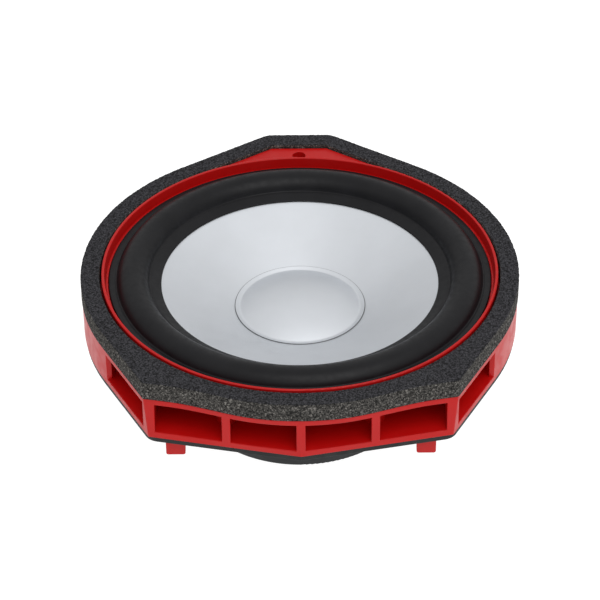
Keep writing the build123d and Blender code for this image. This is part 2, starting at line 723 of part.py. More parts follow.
with BuildPart() as spade_terminals:
    for blade_x, blade_width in TAB_BLADES:
        with BuildSketch(Plane.XY.offset(BOARD_TOP)) as blade:
            with Locations((blade_x, sum(BLADE_Y) / 2)):
                Rectangle(blade_width, BLADE_Y[1] - BLADE_Y[0])
            chamfer(blade.vertices().group_by(Axis.Y)[-1], BLADE_TIP)
            with Locations((blade_x, RIVET_Y)):
                Circle(RIVET_R, mode=Mode.SUBTRACT)
            with Locations((blade_x, BLADE_HOLE_Y)):
                Circle(BLADE_HOLE_R, mode=Mode.SUBTRACT)
        extrude(amount=BLADE_T)
finish(spade_terminals, "spade_terminals")

with BuildPart() as terminal_rivets:
    stack = BLADE_TOP - SPIDER_LAND
    with Locations(*[(x, RIVET_Y, BLADE_TOP) for x, _ in TAB_BLADES]):
        Cylinder(RIVET_R, stack, align=(Align.CENTER, Align.CENTER, Align.MAX))
        Cylinder(RIVET_HEAD_R, EDGE_R, align=(Align.CENTER, Align.CENTER, Align.MIN))
    with Locations(*[(x, RIVET_Y, SPIDER_LAND) for x, _ in TAB_BLADES]):
        Cylinder(RIVET_HEAD_R, EDGE_R, align=(Align.CENTER, Align.CENTER, Align.MAX))
finish(terminal_rivets, "terminal_rivets")

with BuildPart() as tinsel_leads:
    for blade_x, _ in TAB_BLADES:
        side = 1 if blade_x > 0 else -1
        root_y = (WRAP_R + LEAD_R) * cos(LEAD_X / (WRAP_R + LEAD_R))
        rest = BLADE_TOP + LEAD_R
        with BuildLine() as route:
            Spline(
                (blade_x, BLADE_Y[0] + LEAD_R / 2, rest),
                (blade_x, ARM_WINDOW[0], rest + LEAD_ARCH[0]),
                (LEAD_SWAY[0] * blade_x, LEDGE_IN_R, rest + LEAD_ARCH[1]),
                (LEAD_SWAY[1] * blade_x, (LEDGE_IN_R + WRAP_R) / 2, rest + LEAD_ARCH[2]),
                (LEAD_SWAY[2] * blade_x, LEAD_DROP_Y, rest + LEAD_ARCH[3]),
                (side * LEAD_X, root_y, LEAD_TOP - LEAD_R),
            )
        with BuildSketch(Plane(origin=route.line @ 0, z_dir=route.line % 0)):
            Circle(LEAD_R)
        sweep(path=route.line)
finish(tinsel_leads, "tinsel_leads")
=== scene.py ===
"""Looks for a shallow 8-inch car subwoofer in a red moulded adapter frame.

Lengths are written in millimetres and turned into metres by MM.  The frame of
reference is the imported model's: +Z out of the cone, -Y towards the front.
"""

import json
from math import atan2, cos, degrees, hypot, pi, radians, sin, tau

import bmesh
import bpy
import numpy as np
from mathutils import Matrix, Vector, noise
from mathutils.bvhtree import BVHTree


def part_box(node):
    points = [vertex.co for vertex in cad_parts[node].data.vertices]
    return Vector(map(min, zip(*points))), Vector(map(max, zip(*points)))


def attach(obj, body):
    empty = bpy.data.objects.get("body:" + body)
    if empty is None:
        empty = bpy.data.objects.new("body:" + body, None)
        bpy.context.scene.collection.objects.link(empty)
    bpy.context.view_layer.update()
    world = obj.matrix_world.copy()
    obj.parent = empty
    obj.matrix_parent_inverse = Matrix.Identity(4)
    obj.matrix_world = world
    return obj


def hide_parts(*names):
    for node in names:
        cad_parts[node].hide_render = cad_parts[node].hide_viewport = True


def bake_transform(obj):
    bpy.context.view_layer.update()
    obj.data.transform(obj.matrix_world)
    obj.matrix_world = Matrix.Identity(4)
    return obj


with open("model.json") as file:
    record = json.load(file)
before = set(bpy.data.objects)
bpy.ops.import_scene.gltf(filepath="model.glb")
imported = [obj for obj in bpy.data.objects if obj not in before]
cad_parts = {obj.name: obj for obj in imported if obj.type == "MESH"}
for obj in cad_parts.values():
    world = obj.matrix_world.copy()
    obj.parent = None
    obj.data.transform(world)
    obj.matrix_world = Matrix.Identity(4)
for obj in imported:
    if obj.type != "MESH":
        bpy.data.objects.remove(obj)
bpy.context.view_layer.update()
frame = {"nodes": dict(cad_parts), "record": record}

MM = 0.001

# Camera: where the lens stands, seen from the middle of the foam's top face
CAMERA_ELEVATION = 36.82
CAMERA_DISTANCE = 1239.0
CAMERA_AIM_DROP = 17.4
CAMERA_ROLL = -0.41
CAMERA_LENS = 144.0
SENSOR_WIDTH = 36.0

# Cone and dust cap
GLUE_GAP = 0.02  # between the former's wrap and what is glued around it
CONE_SKIN = 0.6
CONE_BEND = 1.6  # size of the bend between the cone and its neck
CONE_SAMPLES = 60  # along the straight side
CONE_STEPS = 512  # around the axis
CAP_FLANGE = 2.4  # width of the cap's glue flange
CAP_EDGE_SLOPE = 24.0  # slope of the dome at its foot, in degrees
CAP_SKIN = 0.5
CAP_SAMPLES = 40  # along the dome
CAP_TIP_INSET = 0.15
CAP_LIFT = 0.03  # keeps the flange's edge clear of the cone
# radius of the dark ring painted on the cone: painted shadow under the dust cap's flange edge
CAP_SHADOW_R = 33.9

# Surround
RUBBER = 0.8
ROLL_IN_R = 78.0
ROLL_OUT_R = 94.4
ROLL_SAMPLES = 44
ROLL_GROOVE = ((0.3, 0.22), (0.6, 0.3), (0.9, 0.22), (1.2, 0))  # beyond the roll: distance, depth
ROLL_CREASE = ((1.1, 0.12), (0.5, 0.3), (0.1, 0.22))  # inside the roll: distance, depth
CREASE_START = 1.3  # the glue flange ends this far inside the roll
FLANGE_R = (71.9, 73, 76)  # inner edge of the glue flange, and two radii to read its slope from
FLANGE_SAMPLES = 12
FLANGE_STEP = 0.5
SURROUND_INSET = 0.4  # half the rubber's thickness, which the rounded edge takes up
SURROUND_STEPS = 512

# Spider
SPIDER_CLOTH = 0.6
SPIDER_WAVE_R = (31.0, 55.0)
SPIDER_WAVES = 6
SPIDER_WAVE_H = 1.3
SPIDER_WAVE_SAMPLES = 16  # along one wave
SPIDER_STEPS = 384

# Foam
FOAM_AROUND = 1300
FOAM_EDGE_R = 0.6
FOAM_EDGE_SAMPLES = 4
FOAM_SIDE_SAMPLES = 16
FOAM_UNDER_SAMPLES = 4
FOAM_TOP_INSET = 0.3
FOAM_GAP = 0.05  # between the foam and the frame
FOAM_ROUGH = (0.3, 0.14)  # size of the cut pores on the sides and on top
FOAM_PORES = (0.9, 2.1)  # frequencies of the large and the small pores, per millimetre
FOAM_SMALL_PORES = 0.6  # depth of the small pores as a share of the large ones
FOAM_CUT = 0.1  # mean depth of the pitted skin below the CAD outline
FAR = 0.3  # metres, a radius well outside the foam

# Tinsel leads
STRANDS = 3
STRAND_R = 0.36
STRAND_SIDES = 8
TWIST_R = 0.4  # from the middle of the lead to the middle of a strand
TWIST_PITCH = 4.0
LEAD_SAMPLES = 160
LEAD_STATIONS = 24
STATION_REACH = 2.2  # half the length of the slices that give the lead's middle line

# Floor
FLOOR_GAP = 0.3  # under the magnet boot
FLOOR_REACH = 6.0  # metres
FLOOR_CLOUD = 400  # size of the faint clouds
FLOOR_SHADES = ((0.26, 0.26, 0.26), (0.24, 0.24, 0.24))

# Light: strengths of the sky by direction, the key light and the glowing floor
SKY_ZENITH = 0.83
SKY_HORIZON = 0.42
SKY_BACK = 0.22
SKY_RIGHT = 0.2
SKY_RISE = 0.85
KEY_PLACE = (0.42, -0.9, 1.7)
KEY_SIZE = 1.4
KEY_POWER = 12.0
FLOOR_GLOW = 0.98


# Shared helpers ---------------------------------------------------------------


def mesh_piece(name, points, faces, material, smooth=True):
    """New mesh object from points in metres."""
    mesh = bpy.data.meshes.new(name)
    mesh.from_pydata([tuple(point) for point in points], [], faces)
    mesh.validate()
    mesh.polygons.foreach_set("use_smooth", [smooth] * len(mesh.polygons))
    mesh.materials.append(material)
    piece = bpy.data.objects.new(name, mesh)
    bpy.context.scene.collection.objects.link(piece)
    return piece


def grid_faces(rows, columns):
    """Quads of a grid of points stored row by row, closed both ways."""
    faces = []
    for row in range(rows):
        for column in range(columns):
            near = row * columns
            far = (row + 1) % rows * columns
            beside = (column + 1) % columns
            faces.append((near + column, far + column, far + beside, near + beside))
    return faces


def revolve(name, profile, steps, material):
    """Solid of revolution about Z from a closed loop of (radius, height) in millimetres.

    Points of the loop on the axis are merged into one.
    """
    turns = [tau * step / steps for step in range(steps)]
    points = [(r * cos(t) * MM, r * sin(t) * MM, z * MM) for t in turns for r, z in profile]
    piece = mesh_piece(name, points, grid_faces(steps, len(profile)), material)
    if min(r for r, _ in profile) == 0:
        merged = bmesh.new()
        merged.from_mesh(piece.data)
        bmesh.ops.remove_doubles(merged, verts=merged.verts, dist=1e-7)
        merged.to_mesh(piece.data)
        merged.free()
    return piece


def arc(centre, radius, start, end, count):
    """Points on an arc in the profile plane, angles in degrees."""
    angles = [radians(start + (end - start) * i / count) for i in range(count + 1)]
    return [(centre[0] + radius * cos(a), centre[1] + radius * sin(a)) for a in angles]


def circle_through(first, middle, last):
    """Centre and radius of the circle through three profile points."""
    rows = [(2 * (p[0] - last[0]), 2 * (p[1] - last[1])) for p in (first, middle)]
    sums = [p[0] ** 2 + p[1] ** 2 - last[0] ** 2 - last[1] ** 2 for p in (first, middle)]
    centre = np.linalg.solve(np.array(rows), np.array(sums))
    return tuple(centre), hypot(first[0] - centre[0], first[1] - centre[1])


def sheet(path, thickness, from_pole=False):
    """Closed profile of a sheet whose front face follows path, with rounded ends.

    A sheet from the pole starts on the axis and has only its outer end rounded.
    """
    path = np.array(path, float)
    along = np.gradient(path, axis=0)
    along /= np.linalg.norm(along, axis=1)[:, None]
    normal = np.stack([along[:, 1], -along[:, 0]], axis=1)
    under = path + normal * thickness
    if from_pole:
        under[0] = (0, path[0][1] - thickness)
    turns = [pi * k / 6 for k in range(1, 6)]

    def rounded(end, sign):
        middle = (path[end] + under[end]) / 2
        reach = along[end] * thickness / 2 * sign
        side = (path[end] - under[end]) / 2 * sign
        return [tuple(middle + side * cos(t) + reach * sin(t)) for t in turns]

    loop = [tuple(p) for p in path] + rounded(-1, 1) + [tuple(p) for p in under[::-1]]
    return loop if from_pole else loop + rounded(0, -1)


def between(first, second, share):
    """Point a share of the way from one profile point to another."""
    return tuple(a + (b - a) * share for a, b in zip(first, second))


def cad_tree(node):
    """Search tree over the faces of a CAD node."""
    mesh = frame["nodes"][node].data
    return BVHTree.FromPolygons([v.co for v in mesh.vertices], [p.vertices for p in mesh.polygons])


def height_on(node, radius):
    """Height of a CAD node's upper face on the -Y side, this far from the axis."""
    start = Vector((0, -radius * MM, 1))
    hit = cad_tree(node).ray_cast(start, Vector((0, 0, -1)))[0]
    return hit.z / MM


def frame_radius(node):
    """Outer radius of a round CAD node, in millimetres."""
    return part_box(node)[1].x / MM


def blend_radially(piece, inner_r, outer_r):
    """Bakes the ring's placement into its mesh and works out each point's share between inner_r and
    outer_r; no point is moved.
    """
    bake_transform(piece)
    for vertex in piece.data.vertices:
        share = (outer_r - hypot(vertex.co.x, vertex.co.y) / MM) / (outer_r - inner_r)
        share = min(max(share, 0.0), 1.0)


# Materials ----------------------------------------------------------------------


class Shader:
    """Small builder for a node material around one Principled BSDF."""

    def __init__(self, name, roughness=0.5, metallic=0.0, specular=0.5):
        self.material = bpy.data.materials.new(name)
        self.material.use_nodes = True
        self.nodes = self.material.node_tree.nodes
        self.links = self.material.node_tree.links
        self.surface = self.nodes["Principled BSDF"]
        self.surface.inputs["Roughness"].default_value = roughness
        self.surface.inputs["Metallic"].default_value = metallic
        self.surface.inputs["Specular IOR Level"].default_value = specular
        self.place = self.nodes.new("ShaderNodeTexCoord").outputs["Object"]
        self.last_bump = None

    def plug(self, socket, value):
        """Feeds a socket from another socket or with a plain value."""
        if isinstance(value, bpy.types.NodeSocket):
            self.links.new(value, socket)
        else:
            socket.default_value = value

    def node(self, kind, settings=None, **inputs):
        """Adds a node; inputs go by name with _ for a space, or by number after a _."""
        made = self.nodes.new("ShaderNode" + kind)
        for key, value in (settings or {}).items():
            setattr(made, key, value)
        for key, value in inputs.items():
            name = int(key[1:]) if key[1:].isdigit() else key.replace("_", " ")
            self.plug(made.inputs[name], value)
        return made

    def noise(self, size, detail=2.0, roughness=0.5):
        """Noise whose features are about size millimetres across."""
        scale = 1 / (size * MM)
        made = self.node("TexNoise", Vector=self.place, Scale=scale, Detail=detail, Roughness=roughness)
        return made.outputs["Fac"]

    def cells(self, size):
        """Distance to the middles of cells about size millimetres across."""
        return self.node("TexVoronoi", Vector=self.place, Scale=1 / (size * MM)).outputs["Distance"]

    def span(self, value, low, high, to_low=0.0, to_high=1.0):
        """Maps value from low..high to to_low..to_high, clamped."""
        ends = {"From_Min": low, "From_Max": high, "To_Min": to_low, "To_Max": to_high}
        return self.node("MapRange", Value=value, **ends).outputs["Result"]

    def math(self, operation, first, second=0.0):
        """Result of a Math node."""
        return self.node("Math", {"operation": operation}, _0=first, _1=second).outputs[0]

    def mix(self, share, first, second):
        """Colour between first and second, each a socket or three numbers."""
        ends = [end if isinstance(end, bpy.types.NodeSocket) else (*end, 1.0) for end in (first, second)]
        return self.node("Mix", {"data_type": "RGBA"}, _0=share, _6=ends[0], _7=ends[1]).outputs[2]

    def set(self, name, socket):
        """Drives an input of the surface."""
        self.links.new(socket, self.surface.inputs[name])

    def bump(self, height, depth, strength=1.0):
        """Stacks a bump of depth millimetres on the surface."""
        made = self.node("Bump", Height=height, Strength=strength, Distance=depth * MM)
        if self.last_bump:
            self.links.new(self.last_bump, made.inputs["Normal"])
        self.last_bump = made.outputs["Normal"]
        self.set("Normal", self.last_bump)

    def vary_roughness(self, socket, low, high):
        """Lets a noise move the roughness between low and high."""
        self.set("Roughness", self.span(socket, 0.35, 0.65, low, high))


def moulded_plastic(name, colour, dark, roughness, specular=0.5):
    """Satin injection-moulded plastic with a faint spark-eroded grain."""
    shader = Shader(name, roughness, specular=specular)
    cloud = shader.noise(22, 3)
    grain = shader.noise(0.5, 2)
    shader.set("Base Color", shader.mix(shader.span(cloud, 0.3, 0.7), colour, dark))
    shader.vary_roughness(shader.noise(6, 3), roughness - 0.05, roughness + 0.07)
    shader.bump(grain, 0.02, 0.35)
    return shader.material


def rubber(name, colour, light, roughness, specular=0.35):
    """Smooth moulded rubber with a dusty cloud and a fine grain."""
    shader = Shader(name, roughness, specular=specular)
    cloud = shader.noise(14, 4)
    shader.set("Base Color", shader.mix(shader.span(cloud, 0.35, 0.7), colour, light))
    shader.vary_roughness(shader.noise(3, 3), roughness - 0.04, roughness + 0.08)
    shader.bump(shader.noise(0.6, 2), 0.03, 0.4)
    return shader.material


def satin_aluminium(name, colour, roughness, shadow_r):
    """Anodised sheet aluminium, slightly uneven, with a painted shadow ring under the dust cap's edge,
    at the given radius.
    """
    shader = Shader(name, roughness, metallic=1.0)
    cloud = shader.noise(30, 3)
    dimmer = tuple(0.96 * c for c in colour)
    skin = shader.mix(shader.span(cloud, 0.35, 0.65), colour, dimmer)
    flat = shader.node("VectorMath", {"operation": "MULTIPLY"}, _0=shader.place, _1=(1, 1, 0))
    radius = shader.node("VectorMath", {"operation": "LENGTH"}, _0=flat.outputs[0]).outputs["Value"]
    # Dark ring around the cap's edge: painted shadow under the flange, not a glue line
    off_line = shader.math("ABSOLUTE", shader.math("SUBTRACT", radius, shadow_r * MM))
    line = shader.span(off_line, 0.12 * MM, 0.3 * MM, 0.75, 0.0)
    shader.set("Base Color", shader.mix(line, skin, (0.05, 0.05, 0.055)))
    shader.vary_roughness(shader.noise(9, 4), roughness - 0.03, roughness + 0.04)
    shader.bump(shader.noise(0.35, 2), 0.012, 0.25)
    return shader.material


def metal(name, colour, roughness, metallic=1.0, grain=0.6):
    """Machined or plated metal with fine scratches and smudges."""
    shader = Shader(name, roughness, metallic=metallic)
    cloud = shader.noise(8, 4)
    dimmer = tuple(0.8 * c for c in colour)
    shader.set("Base Color", shader.mix(shader.span(cloud, 0.3, 0.7), colour, dimmer))
    shader.vary_roughness(shader.noise(2.5, 4), roughness - 0.06, roughness + 0.1)
    shader.bump(shader.noise(grain, 3), 0.02, 0.4)
    return shader.material


def powder_coat(name, colour):
    """Black powder coat with its orange-peel texture."""
    shader = Shader(name, 0.42, specular=0.5)
    lighter = tuple(1.6 * c for c in colour)
    shader.set("Base Color", shader.mix(shader.span(shader.noise(10, 3), 0.3, 0.7), colour, lighter))
    shader.vary_roughness(shader.noise(4, 3), 0.36, 0.5)
    shader.bump(shader.noise(0.9, 2), 0.05, 0.5)
    return shader.material


def open_cell_foam(name):
    """Charcoal foam: dark pores, cut cell walls that catch the light, paler on the cut side."""
    shader = Shader(name, 0.95, specular=0.15)
    facing = shader.node("NewGeometry").outputs["Normal"]
    upward = shader.node("SeparateXYZ", Vector=facing).outputs["Z"]
    side = shader.span(upward, 0.45, 0.85, 1.0, 0.0)
    pores = shader.cells(0.95)
    specks = shader.noise(0.75, 2, 0.7)
    flecks = shader.noise(1.5, 3, 0.75)
    top = shader.mix(shader.span(specks, 0.38, 0.66), (0.017, 0.017, 0.019), (0.075, 0.074, 0.082))
    cut = shader.mix(shader.span(specks, 0.36, 0.68), (0.019, 0.0182, 0.017), (0.125, 0.119, 0.11))
    cut = shader.mix(shader.span(flecks, 0.54, 0.66, 0.0, 0.85), cut, (0.27, 0.255, 0.235))
    colour = shader.mix(side, top, cut)
    colour = shader.mix(shader.span(pores, 0.5, 0.75, 0.0, 0.75), colour, (0.006, 0.006, 0.006))
    shader.set("Base Color", colour)
    shader.bump(specks, 0.5, 0.6)
    shader.bump(pores, 0.4, 0.5)
    return shader.material


def woven_cloth(name, colour, dark):
    """Resin-dipped plain weave."""
    shader = Shader(name, 0.75, specular=0.3)
    place = shader.node("SeparateXYZ", Vector=shader.place).outputs
    turns = [shader.math("MULTIPLY", place[axis], tau / (0.9 * MM)) for axis in ("X", "Y")]
    threads = [shader.math("SINE", turn) for turn in turns]
    weave = shader.math("MULTIPLY", threads[0], threads[1])
    shader.set("Base Color", shader.mix(shader.span(weave, -0.8, 0.8), dark, colour))
    shader.bump(weave, 0.12, 0.8)
    return shader.material


def fibre_board(name, colour):
    """Pressed phenolic or paper board with mottled fibres."""
    shader = Shader(name, 0.6)
    lighter = tuple(1.7 * c for c in colour)
    mottle = shader.span(shader.noise(1.2, 4, 0.7), 0.35, 0.65)
    shader.set("Base Color", shader.mix(mottle, colour, lighter))
    shader.bump(shader.noise(0.5, 3), 0.03, 0.5)
    return shader.material


def winding(name, colour):
    """Enamelled wire laid in turns around the coil, with painted shade in the grooves between turns."""
    shader = Shader(name, 0.3, metallic=1.0)
    height = shader.node("SeparateXYZ", Vector=shader.place).outputs["Z"]
    turns = shader.math("SINE", shader.math("MULTIPLY", height, tau / (0.45 * MM)))
    # The grooves between turns are painted darker: painted shade between the wires.
    dark = tuple(0.35 * c for c in colour)
    shader.set("Base Color", shader.mix(shader.span(turns, -1, 0.4), dark, colour))
    shader.bump(turns, 0.15, 0.9)
    return shader.material


MATERIALS = {
    "red_plastic": moulded_plastic(
        "red_plastic", (0.515, 0.0045, 0.004), (0.485, 0.004, 0.0035), 0.38, specular=0.27
    ),
    "foam": open_cell_foam("foam"),
    "seal_rubber": rubber("seal_rubber", (0.010, 0.011, 0.011), (0.015, 0.016, 0.016), 0.6),
    "basket_paint": powder_coat("basket_paint", (0.012, 0.012, 0.013)),
    "plated_steel": metal("plated_steel", (0.55, 0.55, 0.53), 0.36),
    "ferrite": metal("ferrite", (0.05, 0.05, 0.053), 0.55, metallic=0.3, grain=1.0),
    "aluminium": metal("aluminium", (0.75, 0.75, 0.77), 0.3),
    "mesh_steel": metal("mesh_steel", (0.1, 0.1, 0.1), 0.45),
    "boot_rubber": rubber("boot_rubber", (0.014, 0.016, 0.017), (0.02, 0.022, 0.023), 0.42),
    "former_film": moulded_plastic("former_film", (0.4, 0.15, 0.02), (0.3, 0.1, 0.012), 0.3),
    "copper_wire": winding("copper_wire", (0.72, 0.28, 0.12)),
    "wrap_paper": fibre_board("wrap_paper", (0.1, 0.085, 0.065)),
    "cone_aluminium": satin_aluminium("cone_aluminium", (0.75, 0.775, 0.81), 0.5, CAP_SHADOW_R),
    "surround_rubber": rubber(
        "surround_rubber", (0.0065, 0.0065, 0.0078), (0.0095, 0.0095, 0.011), 0.4, specular=0.2
    ),
    "spider_cloth": woven_cloth("spider_cloth", (0.42, 0.3, 0.1), (0.16, 0.1, 0.03)),
    "black_screw": metal("black_screw", (0.06, 0.06, 0.062), 0.38, metallic=0.8),
    "board_phenolic": fibre_board("board_phenolic", (0.035, 0.026, 0.02)),
    "tinned_brass": metal("tinned_brass", (0.8, 0.74, 0.6), 0.28),
    "tinsel_copper": metal("tinsel_copper", (0.8, 0.52, 0.36), 0.35),
}


def paint_cad():
    """Gives each carried-over CAD node the material of its slot in the record."""
    for row in frame["record"]["subparts"]:
        mesh = frame["nodes"][row["node"]].data
        mesh.materials.clear()
        mesh.materials.append(MATERIALS[row["material_slot"]])


# Cone and dust cap ----------------------------------------------------------------


def build_cone():
    low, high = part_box("cone")
    edge_r = high.x / MM - 1.0
    rim_r = high.x / MM - 0.4 * CONE_SKIN
    slope = (height_on("cone", edge_r) - height_on("cone", edge_r / 2)) / (edge_r / 2)
    neck_r = frame_radius("former_wrap") + GLUE_GAP
    foot = height_on("cone", edge_r / 2) - slope * (edge_r / 2 - neck_r)
    path = [(neck_r, low.z / MM + 0.3), (neck_r, foot - CONE_BEND)]
    for t in (0.25, 0.5, 0.75):
        bend_z = CONE_BEND * (slope * t * t / 2 - (1 - t))
        path.append((neck_r + CONE_BEND * t * t, foot + bend_z))
    for k in range(CONE_SAMPLES + 1):
        out = CONE_BEND + (rim_r - neck_r - CONE_BEND) * k / CONE_SAMPLES
        path.append((neck_r + out, foot + slope * out))
    cone = revolve("cone_skin", sheet(path, CONE_SKIN), CONE_STEPS, MATERIALS["cone_aluminium"])
    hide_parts("cone")
    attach(cone, "cone_assembly")


def build_dust_cap():
    outer_r = frame_radius("dust_cap")
    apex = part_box("dust_cap")[1].z / MM
    sphere_r = (outer_r - CAP_FLANGE) / sin(radians(CAP_EDGE_SLOPE))
    dome = arc((0, apex - sphere_r), sphere_r, 90, 90 - CAP_EDGE_SLOPE, CAP_SAMPLES)
    dome[0] = (0, apex)
    tip_z = height_on("dust_cap", outer_r - 2 * CAP_TIP_INSET) + CAP_LIFT
    tip = (outer_r - CAP_TIP_INSET, tip_z)
    flange = [between(dome[-1], tip, share) for share in (0.2, 0.45, 0.7, 0.9, 1.0)]
    loop = sheet(dome + flange, CAP_SKIN, from_pole=True)
    cap = revolve("cap_skin", loop, CONE_STEPS, MATERIALS["cone_aluminium"])
    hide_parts("dust_cap")
    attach(cap, "cone_assembly")


# Surround -------------------------------------------------------------------------


def build_surround():
    """Rubber ring: glue flange on the cone, crease, half roll, groove and flat."""
    start_r, near_r, far_r = FLANGE_R
    near_z = height_on("surround", near_r)
    slope = (height_on("surround", far_r) - near_z) / (far_r - near_r)

    def flange(radius, deep=0.0):
        return (radius, near_z + slope * (radius - near_r) - deep)

    glue = [flange(start_r + FLANGE_STEP * k) for k in range(FLANGE_SAMPLES)]
    glue = [point for point in glue if point[0] < ROLL_IN_R - CREASE_START]
    crease = [flange(ROLL_IN_R - back, deep) for back, deep in ROLL_CREASE]

    rim = height_on("surround", ROLL_OUT_R + 2)
    first, last = flange(ROLL_IN_R), (ROLL_OUT_R, rim)
    crest = ((ROLL_IN_R + ROLL_OUT_R) / 2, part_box("surround")[1].z / MM)
    centre, radius = circle_through(first, crest, last)
    start, end = (degrees(atan2(z - centre[1], r - centre[0])) for r, z in (first, last))
    roll = arc(centre, radius, start, end, ROLL_SAMPLES)

    flat = [(ROLL_OUT_R + out, rim - deep) for out, deep in ROLL_GROOVE]
    edge = (frame_radius("surround") - SURROUND_INSET, rim)
    flat += [between(flat[-1], edge, k / 3) for k in (1, 2, 3)]
    loop = sheet(glue + crease + roll + flat, RUBBER)
    ring = revolve("surround_roll", loop, SURROUND_STEPS, MATERIALS["surround_rubber"])
    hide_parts("surround")
    blend_radially(ring, ROLL_IN_R, ROLL_OUT_R)


# Spider ---------------------------------------------------------------------------


def build_spider():
    """Corrugated cloth disc between the former's wrap and the basket's ledge."""
    outer_r = frame_radius("spider")
    land = height_on("spider", outer_r - 1)
    neck_r = frame_radius("former_wrap") + GLUE_GAP
    first, last = SPIDER_WAVE_R
    samples = SPIDER_WAVE_SAMPLES * SPIDER_WAVES
    path = [(neck_r, land - 2.2), (neck_r, land - 0.8), (neck_r + 0.6, land)]
    path += [(first - 2, land), (first - 0.5, land)]
    for k in range(samples + 1):
        drop = SPIDER_WAVE_H * sin(tau * k / SPIDER_WAVE_SAMPLES)
        path.append((first + (last - first) * k / samples, land - drop))
    path += [(last + 0.5, land), (last + 3, land), (outer_r - 2, land), (outer_r - 0.3, land)]
    loop = sheet(path, SPIDER_CLOTH)
    cloth = revolve("spider_cloth_disc", loop, SPIDER_STEPS, MATERIALS["spider_cloth"])
    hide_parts("spider")
    blend_radially(cloth, first, last)


# Foam gasket ------------------------------------------------------------------------


def foam_outline():
    """Angle, inner and outer radius of the foam around the axis, read off the CAD gasket."""
    tree = cad_tree("front_foam_gasket")
    low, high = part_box("front_foam_gasket")
    middle = Vector((0, 0, (low.z + high.z) / 2))
    rows = []
    for step in range(FOAM_AROUND):
        angle = tau * step / FOAM_AROUND
        outward = Vector((cos(angle), sin(angle), 0))
        inner = tree.ray_cast(middle, outward)[3]
        outer = FAR - tree.ray_cast(outward * FAR + middle, -outward)[3]
        rows.append((angle, inner / MM, outer / MM))
    return rows


def foam_section(inner, outer, bottom, top, edge):
    """Section of the foam ring as (radius, height, outward radial part, outward vertical part)."""
    section = []
    width = outer - inner
    for k in range(FOAM_SIDE_SAMPLES):
        reach = (width - edge - FOAM_TOP_INSET) * k / FOAM_SIDE_SAMPLES
        section.append((inner + FOAM_TOP_INSET + reach, top, 0.0, 1.0))
    for k in range(FOAM_EDGE_SAMPLES + 1):
        a = pi / 2 * (1 - k / FOAM_EDGE_SAMPLES)
        section.append((outer - edge + edge * cos(a), top - edge + edge * sin(a), cos(a), sin(a)))
    for k in range(1, FOAM_SIDE_SAMPLES):
        drop = (top - edge - bottom) * k / FOAM_SIDE_SAMPLES
        section.append((outer, top - edge - drop, 1.0, 0.0))
    for k in range(FOAM_UNDER_SAMPLES):
        section.append((outer - width * k / FOAM_UNDER_SAMPLES, bottom, 0.0, -1.0))
    for k in range(FOAM_SIDE_SAMPLES):
        rise = (top - FOAM_TOP_INSET - bottom) * k / FOAM_SIDE_SAMPLES
        section.append((inner, bottom + rise, -1.0, 0.0))
    return section


def build_foam():
    """Foam ring whose skin is pitted inwards from the CAD outline."""
    low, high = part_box("front_foam_gasket")
    bottom, top = low.z / MM + FOAM_GAP, high.z / MM
    large, small = FOAM_PORES
    points = []
    rows = foam_outline()
    for angle, inner, outer in rows:
        section = foam_section(inner, outer, bottom, top, FOAM_EDGE_R)
        for radius, height, out, up in section:
            spot = Vector((radius * cos(angle), radius * sin(angle), height))
            pores = noise.noise(spot * large) + FOAM_SMALL_PORES * noise.noise(spot * small)
            lift = min(FOAM_ROUGH[abs(up) > 0.8] * pores, FOAM_CUT) - FOAM_CUT
            if height <= bottom:
                lift = 0
            reach = radius + out * lift
            points.append((reach * cos(angle) * MM, reach * sin(angle) * MM, (height + up * lift) * MM))
    faces = grid_faces(len(rows), len(section))
    foam = mesh_piece("foam_ring", points, faces, MATERIALS["foam"])
    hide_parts("front_foam_gasket")
    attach(foam, "chassis")


# Tinsel leads -----------------------------------------------------------------------


def lead_stations(side):
    """Points along the middle of one CAD lead, from the coil to the blade, in millimetres."""
    vertices = frame["nodes"]["tinsel_leads"].data.vertices
    lead = [Vector(vertex.co) / MM for vertex in vertices if vertex.co.x * side > 0]
    low_y = min(point.y for point in lead)
    high_y = max(point.y for point in lead)
    stations = []
    for k in range(LEAD_STATIONS + 1):
        y = low_y + (high_y - low_y) * k / LEAD_STATIONS
        near = [point for point in lead if abs(point.y - y) < STATION_REACH]
        stations.append(sum(near, Vector()) / len(near))
    return stations


def strand(centre, phase):
    """Points of one strand that winds around the middle line, ring by ring, in metres."""
    points = []
    travelled = 0.0
    for k, spot in enumerate(centre):
        ahead = centre[min(k + 1, len(centre) - 1)] - centre[max(k - 1, 0)]
        ahead.normalize()
        if k:
            travelled += (spot - centre[k - 1]).length
        across = ahead.cross(Vector((1, 0, 0))).normalized()
        sideways = ahead.cross(across)
        turn = tau * (travelled / TWIST_PITCH + phase)
        hub = spot + (across * cos(turn) + sideways * sin(turn)) * TWIST_R
        for j in range(STRAND_SIDES):
            a = tau * j / STRAND_SIDES
            points.append((hub + (across * cos(a) + sideways * sin(a)) * STRAND_R) * MM)
    return points


def strand_faces(base):
    """Faces of a strand whose points start at base: its sides, then its two ends."""
    faces = []
    for k in range(LEAD_SAMPLES):
        for j in range(STRAND_SIDES):
            a = base + k * STRAND_SIDES + j
            b = base + k * STRAND_SIDES + (j + 1) % STRAND_SIDES
            faces.append((a, b, b + STRAND_SIDES, a + STRAND_SIDES))
    first = [base + j for j in range(STRAND_SIDES)]
    last = [base + LEAD_SAMPLES * STRAND_SIDES + j for j in range(STRAND_SIDES)]
    return faces + [first[::-1], last]


